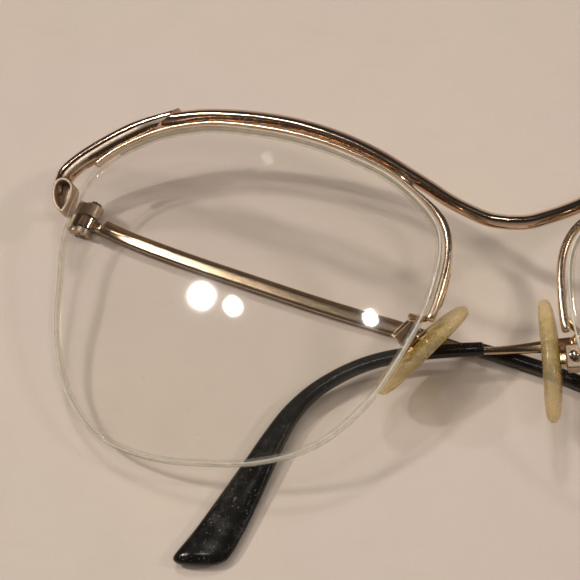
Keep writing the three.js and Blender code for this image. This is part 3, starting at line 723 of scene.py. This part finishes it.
    # ------------------------------------------------------------ corner piece: glossy round above, brushed flat, ridge, bevel
    line_c = [[s * x, float(bar_y(x)), z] for x, z in CORNER] + [[s * 66.42, 9.35, 16.15], [s * 66.46, 8.85, 15.3]]
    cp, clen = dense(line_c, 110)
    cs = np.linspace(0, 1, 110) * 1.095
    TC = np.empty_like(cp); TC[1:-1] = cp[2:] - cp[:-2]; TC[0] = cp[1] - cp[0]; TC[-1] = cp[-1] - cp[-2]; TC = unit(TC)
    WC = unit(A([[0, 1, 0]]) - TC[:, 1:2] * TC)
    UC = np.cross(TC, WC); UC = UC if UC[10, 2] > 0 else -UC
    rings, fm1 = [], []
    for i in range(110):
        t = cs[i]
        fall = float(smooth(t, 0.96, 1.09))
        h = CORNER_H * (0.86 + 0.21 * float(smooth(t, 0.02, 0.35)) - 0.48 * fall)
        lo = 1 - 0.22 * float(smooth(t, 0.45, 0.95))
        # (up, back); the front is negative: round upper edge, brushed flat, ridge, lower bevel
        q, tag = [], []
        for p_ in np.linspace(math.radians(96), math.radians(-30), 16):
            q.append((h * (0.40 + 0.60 * math.sin(p_)), -0.28 - 0.72 * math.cos(p_))); tag.append(0)
        tag[-1] = 0
        q += [(h * 0.095, -0.86), (h * 0.07, -0.845)]; tag += [1, 1]
        q += [(-h * 0.36, -0.90), (-h * 0.40, -0.93)]; tag += [1, 2]
        q += [(-h * 0.43, -1.05), (-h * 0.47, -1.09), (-h * 0.53, -1.07)]; tag += [2, 2, 3]
        q += [(-h * 0.88 * lo, -0.74), (-h * 0.96 * lo, -0.64), (-h * lo, -0.50)]; tag += [2, 2, 0]
        q += [(-h * lo, 0.7), (-h * 0.92 * lo, 0.86), (-h * 0.7, 0.95), (h * 0.7, 0.95), (h * 0.9, 0.84), (h * 0.98, 0.65)]; tag += [0] * 6
        q = A(q)
        k = (1 - float(smooth(t, 0.0, 0.20))) * 1.75
        rings.append(cp[i] + q[:, :1] * UC[i] + q[:, 1:2] * (1 - 0.25 * fall) * WC[i] - (k * q[:, :1]) * TC[i])
        fm1 = tag
    v, f, u = loft_data(rings)
    fm = fm1 * (len(rings) - 1) + [0] * (2 * len(rings[0]))
    ob = make("corner_shell_" + key, v, f, [ROSE, SATIN, COPPER, BEVEL], fm, uv=u, sharp=30)
    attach(ob, "front"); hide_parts("corner_piece_" + key)

    # ------------------------------------------------------------ hinge frame of axes
    dr, tk, pn = (math.radians(T_[k]) for k in ("drop", "tuck", "pant"))
    e1 = A([-s * math.cos(dr) * math.cos(tk), math.sin(tk), -math.sin(dr) * math.cos(tk)])
    ax = A([-s * math.sin(dr), math.tan(pn), math.cos(dr)])
    ax = unit(ax - ax.dot(e1) * e1)
    back = np.cross(ax, e1) * -s
    H = A([s * HINGE[0], HINGE[1], HINGE[2]])
    on = lambda t: H + ax * t

    # ------------------------------------------------------------ end piece: a band bent into a teardrop, and the strap back to the hinge
    tear = [[64.75, 15.85], [63.95, 15.2], [63.72, 14.2], [63.82, 13.1], [64.1, 12.0], [64.55, 11.1], [65.2, 11.45], [65.95, 12.45], [66.35, 13.6], [66.45, 14.7], [66.2, 15.6], [65.5, 15.98]]
    tp, _ = dense([[s * x, 8.7, z] for x, z in tear], 96, closed=True)
    band = rounded([(-0.22, -1.35), (0.22, -1.35), (0.22, 1.35), (-0.22, 1.35)], 0.12, 3)
    rings = []
    cen = tp.mean(0)
    for i in range(96):
        t = unit(tp[(i + 1) % 96] - tp[i - 1])
        out = unit(np.cross(t, [0, 1, 0]))
        if out.dot(tp[i] - cen) < 0:
            out = -out
        rings.append(tp[i] + band[:, :1] * out + band[:, 1:2] * A([0, 1, 0]))
    parts = [(*loft_data(rings, closed=True), 0)]
    floor_r = [A([cen[0], 0, cen[2]]) + (tp - cen) * A([0.93, 0, 0.93]) * k_ + A([0, y_, 0]) for k_, y_ in ((0.3, 9.25), (0.7, 9.2), (1.0, 9.0), (1.0, 9.7), (0.5, 9.75))]
    parts.append((*loft_data(floor_r), 1))
    strap_pts, _ = dense([[s * 66.1, 8.6, 15.1], [s * 66.4, 10.2, 15.0], [s * 66.6, 12.2, 14.6], [s * 66.65, 14.2, 14.2], [s * 66.65, 15.9, 13.8]], 40)
    P2, Sx, idx = end_round(strap_pts, None, 4, 0.2)
    v, f, u = loft_data(sweep_rings(P2, (0, 0, 1), lambda i: rounded([(-1.0, -0.34), (1.0, -0.34), (1.0, 0.34), (-1.0, 0.34)], 0.14, 3) * Sx[i]))
    parts.append((v, f, u, 0))
    v, f, u, fm = combine(parts)
    ob = make("end_piece_loop_" + key, v, f, [LOOP_IN, LOOP_IN], fm, uv=u, sharp=35)
    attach(ob, "front"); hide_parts("end_piece_" + key)

    # ------------------------------------------------------------ hinge
    out = unit(A([s, 0, 0]) + ax * (-ax[0] * s))
    side = np.cross(ax, out)
    bore = SCREW_R + 0.2
    parts = [
        (*rod_data(on(0.9), on(2.85), KNUCKLE_R, 36, 0.16, bore), 1),
        (*rod_data(on(-2.1), on(-1.3), KNUCKLE_R, 36, 0.14, bore), 0),
        (*box_data(H + ax * 0.375 + out * 1.98, (ax, out, side), (2.475, 0.3, 1.1), 0.12), 1),
        (*box_data(on(1.875) + out * 1.4, (ax, out, side), (0.975, 0.62, 0.78), 0.1), 1),
        (*box_data(on(-1.7) + out * 1.4, (ax, out, side), (0.4, 0.62, 0.78), 0.1), 0),
    ]
    v, f, u, fm = combine(parts)
    ob = make("hinge_leaf_" + key, v, f, [DARK_HINGE, DARK_HINGE], fm, uv=u, sharp=35)
    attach(ob, "front"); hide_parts("hinge_front_" + key)

    # screw with a domed slotted head
    head = []
    n = 32
    ang = np.arange(n) / n * 2 * math.pi
    uu = unit(np.cross(ax, [0.2, 0.9, 0.1])); ww = np.cross(ax, uu)
    prof = [(-2.05, 0.001), (-2.05, SCREW_R - 0.08), (-1.97, SCREW_R), (3.16, SCREW_R), (3.17, 0.78), (3.22, 0.85), (3.34, 0.84), (3.43, 0.72), (3.48, 0.45), (3.49, 0.2)]
    rings = [on(h) + r * (np.cos(ang)[:, None] * uu + np.sin(ang)[:, None] * ww) for h, r in prof]
    rings = A(rings)
    for k in (7, 8, 9):  # slot pressed across the head
        across = (rings[k] - on(prof[k][0])) @ uu
        rings[k] -= ax * (0.13 * np.exp(-((across / 0.13) ** 4)))[:, None]
    v, f, u = loft_data(rings)
    ob = make("hinge_pin_" + key, v, f, STEEL, uv=u, sharp=40)
    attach(ob, "front"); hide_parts("hinge_screw_" + key)

    neck_l = (LEAD - GAP - 1.45)
    parts = [
        (*rod_data(on(-0.98), on(0.58), KNUCKLE_R, 36, 0.18, bore), 0),
        (*box_data(on(-0.2) + e1 * 1.5, (e1, ax, back), (neck_l - 0.05, 0.72, 0.56), 0.34, 6), 0),
    ]
    v, f, u, fm = combine(parts)
    ob = make("hinge_knuckle_" + key, v, f, [TEMPLE_METAL], fm, uv=u, sharp=35)
    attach(ob, body_t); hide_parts("hinge_temple_" + key)

    # ------------------------------------------------------------ temple shaft and tip
    hx, hy = table_of([b[0] for b in T_["high"]], [b[1] for b in T_["high"]])
    flat, _ = dense(PATH[key], 601)
    clen = np.linalg.norm(np.diff(flat, axis=0), axis=1).sum()
    arc = LEAD + np.linspace(0, clen, 601)
    Q = H + flat[:, :1] * e1 - flat[:, 1:2] * ax
    hz = Q[:, 2] * math.sin(LEAN) - Q[:, 1] * math.cos(LEAN) + REST_Z
    Q = Q + ((hz - np.interp(arc, hx, hy)) / math.cos(LEAN))[:, None] * back
    at = lambda a: np.stack([np.interp(a, arc, Q[:, j]) for j in range(3)], -1)
    L1, T0 = LEAD + clen, TIP_FROM[key]

    sa = np.concatenate([np.linspace(LEAD, LEAD + 10, 60), np.linspace(LEAD + 10.3, T0 - 14, 110), np.linspace(T0 - 13.8, T0 - 0.05, 60)])
    nar = (SHAFT_H - NARROW_H) * smooth(sa, T0 - 13, T0 - 1)
    SP = at(sa) - ax * (nar * 0.5)[:, None]
    P2, Sx, idx = end_round(SP, None, 4, 0.18, end=False)
    sa2, nar2 = sa[idx], nar[idx]
    # which way the section's second axis points along the face towards the lenses
    t0 = unit(SP[5] - SP[0]); up0 = unit(ax - ax.dot(t0) * t0)
    inner = -1.0 if np.cross(t0, up0).dot(back) > 0 else 1.0

    def shaft_sec(i):
        a = sa2[i]
        h = (SHAFT_H - nar2[i]) * Sx[i]
        t = SHAFT_T * Sx[i]
        # the face towards the lenses: a bevel above and one below a low ridge; it starts with a forged shoulder
        sh = 1 - float(smooth(a, LEAD, LEAD + 7.5))
        rnd = float(smooth(a, T0 - 13, T0 - 3))
        ridge = (0.08 - 0.45 * sh) * h
        lift = 1.0 + 0.16 * math.sin(math.pi * min(1, (a - LEAD) / 7.5)) * sh
        poly = [(h, -0.35 * t), (h, 0.30 * t), (0.86 * h, 0.66 * t), (ridge + 0.10 * h, 1.0 * t * lift), (ridge - 0.08 * h, 0.86 * t * lift), (-0.72 * h, 0.72 * t), (-h, 0.36 * t), (-h, -0.4 * t), (-0.8 * h, -0.9 * t), (0.8 * h, -0.9 * t)]
        q = A(poly)
        if rnd > 0:
            ang_ = np.arctan2(q[:, 1] / t, q[:, 0] / h)
            e = np.stack([h * np.cos(ang_), t * np.sin(ang_)], -1)
            q = q * (1 - rnd) + e * rnd
        q = rounded(q, 0.09 * Sx[i] + 1e-4, 2)
        return q * A([1.0, inner])

    v, f, u = loft_data(sweep_rings(P2, ax, shaft_sec))
    worn = np.zeros(len(v))
    ob = make("temple_shaft_" + key, v, f, TEMPLE_METAL, uv=u, sharp=24)
    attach(ob, body_t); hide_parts("temple_" + key)

    ta = np.concatenate([[T0 - 0.0, T0 + 0.12, T0 + 0.3], np.linspace(T0 + 0.6, L1 - 1.4, 130)])
    tt = (ta - T0) / (L1 - T0)
    wd = 0.9 + 0.25 * tt + 1.9 * smooth(tt, 0.4, 1.0)
    th = 0.96 + 0.22 * smooth(tt, 0.2, 0.7)
    TP = at(ta)
    wd[0], wd[1], wd[2] = 0.74, 0.86, 0.92
    th[0], th[1], th[2] = 0.74, 0.88, 0.95
    d = unit(at(L1) - at(L1 - 2))
    last = at(L1 - 1.4)
    Wend, Tend = wd[-1] + 0.0, th[-1]
    exP, exW, exT = [], [], []
    for k in np.linspace(0.08, 1, 14):
        exP.append(last + d * (1.76 * k))
        g = (1 - k ** 2.6) ** (1 / 2.6) if k < 1 else 0.0
        exW.append(Wend * max(g, 0.02))
        exT.append(Tend * max((1 - k ** 2.2) ** (1 / 2.2) if k < 1 else 0, 0.02))
    P2 = np.vstack([TP, A(exP)])
    W2, T2 = np.concatenate([wd, exW]), np.concatenate([th, exT])
    a2 = np.concatenate([ta, np.full(14, L1)])
    ks = len(ta)
    slant = 0.62 * smooth(np.arange(len(P2)), ks - 24, ks + 2)

    def tip_sec(i):
        q = oval(40, W2[i], T2[i] * 0.965, 2.5)
        # the face towards the lenses is planed off at a slant over the last part of the paddle
        bev = float(smooth(a2[i], L1 - 16, L1 - 9))
        up = q[:, 1] * inner
        x = q[:, 0] / max(W2[i], 1e-6)
        cutd = 1 - 0.30 * bev * np.clip((0.35 - x) / 1.2, 0, 1)
        up = np.where(up > 0, up * cutd, up)
        q = np.stack([q[:, 0], up * inner], -1)
        return np.column_stack([q, q[:, 0] * slant[i]])

    rr_ = sweep_rings(P2, ax, tip_sec)
    v, f, u = loft_data(rr_)
    ob = make("tip_sleeve_" + key, v, f, ACETATE, uv=u, sharp=42)
    w_ = np.repeat(0.10 + 0.90 * smooth(a2, T0 + 26, L1 - 12) + 0.5 * (1 - smooth(a2, T0 + 1, T0 + 4)), 40)
    attribute(ob, "worn", np.concatenate([w_, w_[:1], w_[-1:]]))
    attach(ob, body_t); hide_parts("temple_tip_" + key)

    # ------------------------------------------------------------ nose pad
    Pd = PAD[key]
    l = unit(Pd["l"]); mm = A(Pd["m"], float); mm = unit(mm - mm.dot(l) * l)
    w = unit(np.cross(l, mm)); c = A(Pd["c"], float)
    NP = 96
    a_ = np.arange(NP) / NP * 2 * math.pi
    ct, st = np.cos(a_), np.sin(a_)

    def pad_ring(k, off, lk=None):
        lk = k ** 0.55 if lk is None else lk
        r = 1 - 0.14 * ct
        wv = PAD_W * np.sign(st) * np.abs(st) ** 0.93 * r * k * 0.97
        lv = -PAD_L * np.sign(ct) * np.abs(ct) ** 0.97 * lk * 0.965
        o_ = off - 0.006 * lv ** 2
        return c + lv[:, None] * l + wv[:, None] * w + o_[:, None] * mm

    prof = []
    TT = PAD_T
    for t in np.linspace(0.0, 1, 15):  # crowned skin side
        a2_ = t * math.pi / 2
        prof.append((max(math.sin(a2_) ** (2 / 2.9), 0.05) if t else 0.05, -TT * math.cos(a2_) ** (2 / 2.9)))
    for t in np.linspace(0.1, 0.86, 9):  # back side, flatter
        a2_ = t * math.pi / 2
        prof.append((math.cos(a2_) ** (2 / 2.7), TT * 0.88 * math.sin(a2_) ** (2 / 2.7)))
    prof += [(0.56, TT * 0.87, 0.42), (0.54, TT * 0.80, 0.27), (0.53, TT * 0.40, 0.245), (0.52, -0.02, 0.24), (0.46, -0.08, 0.21), (0.04, -0.1, 0.02)]
    rings = [pad_ring(*q_) for q_ in prof]
    v, f, u = loft_data(rings)
    ob = make("pad_body_" + key, v, f, PAD_MAT, uv=u, sharp=60)
    along = (v - c) @ l / PAD_L
    over = (v - c) @ w / PAD_W
    core = (1 - smooth(np.abs(along + 0.05), 0.22, 0.80)) * (1 - 0.75 * smooth(np.abs(over), 0.62, 1.0))
    attribute(ob, "core", core)
    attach(ob, body_p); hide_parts("nose_pad_" + key)

    hub = c + mm * 2.75
    # insert: pressed plate with a lug
    pl = [(0.001, 0.24), (1.55, 0.24), (1.78, 0.34), (1.78, 0.70), (1.6, 0.85), (0.9, 0.86), (0.001, 0.86)]
    rings = [c + mm * h + r * (1.35 * np.cos(a_)[:, None] * l + np.sin(a_)[:, None] * w * 0.98) for r, h in pl]
    parts = [(*loft_data(rings), 0)]
    lug = rounded([(-0.6, -0.5), (0.6, -0.5), (0.6, 0.5), (-0.6, 0.5)], 0.15, 3)
    lugr = []
    for h, sc in ((0.80, 1.0), (2.2, 1.0), (3.0, 0.98), (3.3, 0.85), (3.45, 0.5)):
        lugr.append(c + mm * h + (lug[:, :1] * 1.35 * sc) * l + lug[:, 1:2] * w * 1.15)
    parts.append((*loft_data(lugr), 0))
    v, f, u, fm = combine(parts)
    ob = make("pad_plate_" + key, v, f, [GOLD], fm, uv=u, sharp=35)
    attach(ob, body_p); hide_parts("pad_insert_" + key)

    n = 24
    ang = np.arange(n) / n * 2 * math.pi
    prof = [(-1.35, 0.001), (-1.35, 0.24), (-1.28, 0.3), (1.71, 0.3), (1.72, 0.54), (1.78, 0.6), (1.92, 0.6), (2.01, 0.5), (2.05, 0.3), (2.06, 0.12)]
    rings = A([hub + w * h + r * (np.cos(ang)[:, None] * l + np.sin(ang)[:, None] * mm) for h, r in prof])
    for k in (7, 8, 9):
        across = (rings[k] - (hub + w * prof[k][0])) @ mm
        rings[k] -= w * (0.1 * np.exp(-((across / 0.11) ** 4)))[:, None]
    v, f, u = loft_data(rings)
    ob = make("pad_pin_" + key, v, f, STEEL, uv=u, sharp=40)
    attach(ob, "front"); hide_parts("pad_screw_" + key)

    # pad box (four walls round the lug) and the bent wire to the rim
    outer = rounded([(-1.62, -1.36), (1.62, -1.36), (1.62, 1.36), (-1.62, 1.36)], 0.28, 4)
    inner_ = rounded([(-1.22, -0.96), (1.22, -0.96), (1.22, 0.96), (-1.22, 0.96)], 0.16, 4)
    seq = [(outer, -0.83, 0.97), (outer, -0.95, 0.9), (inner_, -0.95, 1.06), (inner_, -0.85, 1.0), (inner_, 0.85, 1.0), (inner_, 0.95, 1.06), (outer, 0.95, 0.9), (outer, 0.83, 1.0)]
    rings = [hub + mm * h + q[:, :1] * sc * l + q[:, 1:2] * sc * w for q, h, sc in seq]
    parts = [(*loft_data(rings, closed=True), 2)]
    dy = LENS_T / 2 + 0.82 + GAP + 0.56
    top = hub - l * 1.45
    mids = [A([-9.6, 3.9, -1.9]), A([-11.6, 4.3, -1.6]), top - l * 0.9] if key == "R" else [A([9.2, 3.4, -1.5]), A([10.0, 3.7, -2.2]), top - l * 0.7]
    route = [rim_point(s, 0.478, 0.9, dy), rim_point(s, 0.5, 0.9, dy)] + mids + [top]
    wp, wl = dense(route, 90)
    P2, Sw, idx = end_round(wp, None, 6, 0.4, end=False)
    # the wire is flattened where it is soldered to the rim
    fl = 1 - smooth(np.arange(len(P2)), 14, 30)
    v, f, u = loft_data(sweep_rings(P2, (0, 1, 0.2), lambda i: oval(20, (0.42 - 0.05 * fl[i]) * Sw[i], (0.42 + 0.06 * fl[i]) * Sw[i], 2.0 + 0.8 * fl[i])))
    parts.append((v, f, u, 0))
    for c_, r_, st_ in ((rim_point(s, 0.486, 0.75, dy - 0.2), (0.56, 0.44), 1.05), (rim_point(s, 0.500, 0.95, dy - 0.15), (0.44, 0.36), 0.5)):
        dd = unit(rim_point(s, 0.5, 0.9, dy) - rim_point(s, 0.478, 0.9, dy))
        hh = np.linspace(-0.999, 0.999, 17)
        lump = A([c_ + dd * st_ * k_ for k_ in hh])
        v, f, u = loft_data(sweep_rings(lump, (0, 1, 0), lambda i: oval(22, r_[1] * math.sqrt(1 - hh[i] ** 2), r_[0] * math.sqrt(1 - hh[i] ** 2), 2.0) * (1 + 0.09 * np.sin(np.arange(22)[:, None] * 1.7 + 2.3 * hh[i]))))
        parts.append((v, f, u, 1))
    v, f, u, fm = combine(parts)
    # the left pad box takes the darker, rougher hinge metal as painted shade of its hollow; the right one keeps the
    # temple metal
    ob = make("pad_wire_" + key, v, f, [GOLD, BRIGHT, TEMPLE_METAL if key == "R" else DARK_HINGE], fm, uv=u, sharp=35)
    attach(ob, "front"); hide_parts("pad_arm_" + key)


# ---------------------------------------------------------------- table, light, camera
def table_material():
    m, nt, N, L = mat("table_top")
    o = node(nt, "ShaderNodeOutputMaterial")
    p = node(nt, "ShaderNodeBsdfPrincipled")
    pos = stretched(nt, 1000, 1000, 1000, "Object")
    big = noise(nt, pos, 0.018, 3)
    mid = noise(nt, pos, 0.11, 4, 0.6)
    fine = noise(nt, pos, 2.2, 4, 0.7)
    c = mix(nt, ramp(nt, big, [(0.35, 0.0), (0.65, 1.0)]), (0.64, 0.545, 0.45), (0.63, 0.53, 0.465))
    c = mix(nt, maths(nt, "MULTIPLY", ramp(nt, mid, [(0.42, 0.0), (0.72, 1.0)]), 0.30), c, (0.585, 0.495, 0.42))
    c = mix(nt, maths(nt, "MULTIPLY", ramp(nt, fine, [(0.4, 0.0), (0.8, 1.0)]), 0.12), c, (0.5, 0.42, 0.34))
    scuff = maths(nt, "MULTIPLY", ramp(nt, noise(nt, stretched(nt, 0.5, 2.6, 1, "Object"), 90.0, 4, 0.7), [(0.60, 0.0), (0.70, 1.0)]), 0.10)
    c = mix(nt, scuff, c, (0.50, 0.43, 0.37))
    L.new(c, p.inputs["Base Color"])
    rg = node(nt, "ShaderNodeMapRange")
    L.new(mid, rg.inputs[0])
    rg.inputs[3].default_value, rg.inputs[4].default_value = 0.5, 0.75
    L.new(rg.outputs[0], p.inputs["Roughness"])
    p.inputs["IOR"].default_value = 1.35
    L.new(bump(nt, fine, 0.5, 0.05e-3), p.inputs["Normal"])
    L.new(p.outputs[0], o.inputs[0])
    return m


me = bpy.data.meshes.new("table")
R_ = 1.6
me.from_pydata([(-R_, -R_, 0), (R_, -R_, 0), (R_, R_, 0), (-R_, R_, 0)], [], [(0, 1, 2, 3)])
me.materials.append(table_material())
table = bpy.data.objects.new("table", me)
coll.objects.link(table)
table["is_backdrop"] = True


def lamp(name, direction, distance, radius, power, colour=(1.0, 0.93, 0.84), glossy=True, diffuse=True):
    d = bpy.data.lights.new(name, "AREA")
    d.shape = "DISK"
    d.size = 2 * radius
    d.energy = power
    d.color = colour
    ob = bpy.data.objects.new(name, d)
    u_ = Vector(direction).normalized()
    ob.location = u_ * distance
    ob.rotation_mode = "QUATERNION"
    ob.rotation_quaternion = u_.to_track_quat("Z", "Y")
    ob.visible_glossy = glossy
    ob.visible_diffuse = diffuse
    coll.objects.link(ob)
    return ob


WARM = (1.0, 0.95, 0.90)
lamp("lamp_left", (-0.595, 0.077, 0.80), 0.70, 0.0235, 1.38, WARM)
lamp("lamp_left_2", (-0.508, 0.04, 0.86), 0.72, 0.017, 0.28, WARM)
lamp("lamp_over", (-0.10, 0.012, 0.995), 0.74, 0.015, 0.22, WARM)
lamp("lamp_far", (-0.44, 0.49, 0.752), 0.85, 0.011, 0.006, WARM)
lamp("lamp_right", (0.775, 0.088, 0.625), 0.70, 0.030, 0.80, WARM)
lamp("lamp_near", (0.404, -0.318, 0.857), 0.72, 0.05, 0.68, WARM, glossy=False)
lamp("lamp_back", (-0.135, 0.511, 0.849), 0.80, 0.05, 1.30, WARM, glossy=False)
lamp("soft_fill", (-0.04, -0.02, 1.0), 0.30, 0.12, 0.21, WARM, glossy=False)

w = bpy.data.worlds.new("room")
bpy.context.scene.world = w
w.use_nodes = True
nt = w.node_tree
nt.nodes.clear()
tc = nt.nodes.new("ShaderNodeTexCoord")
sep = nt.nodes.new("ShaderNodeSeparateXYZ")
nt.links.new(tc.outputs["Generated"], sep.inputs[0])
rmp = nt.nodes.new("ShaderNodeValToRGB")
el = rmp.color_ramp.elements
el[0].position, el[0].color = 0.0, (0.34, 0.30, 0.26, 1)
el[1].position, el[1].color = 1.0, (0.030, 0.027, 0.025, 1)
e = el.new(0.12); e.color = (0.13, 0.115, 0.10, 1)
e = el.new(0.36); e.color = (0.05, 0.045, 0.04, 1)
nt.links.new(sep.outputs["Z"], rmp.inputs[0])
bg = nt.nodes.new("ShaderNodeBackground")
nt.links.new(rmp.outputs[0], bg.inputs[0])
bg.inputs[1].default_value = 1.0
wo = nt.nodes.new("ShaderNodeOutputWorld")
nt.links.new(bg.outputs[0], wo.inputs[0])

cam = bpy.data.cameras.new("camera")
cam.sensor_width = 36.0
cam.lens = 1335.2095 / 580 * 36.0
cam.clip_start, cam.clip_end = 0.005, 20.0
cam.dof.use_dof = False
co = bpy.data.objects.new("camera", cam)
coll.objects.link(co)
right = Vector((0.96966322, 0.18085509, -0.16445268))
down = Vector((0.07484661, -0.86011333, -0.50458205))
fwd = Vector((-0.23270418, 0.47696593, -0.84755665))
m = Matrix((right, -down, -fwd)).transposed().to_4x4()
m.translation = Vector((0.01348244, -0.08394016 + CENTRE_Y * 1e-3, 0.16181843))
co.matrix_world = m
bpy.context.scene.camera = co

bpy.context.scene.view_settings.view_transform = "Standard"
bpy.context.scene.view_settings.look = "None"

bpy.context.view_layer.update()
lo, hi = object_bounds()
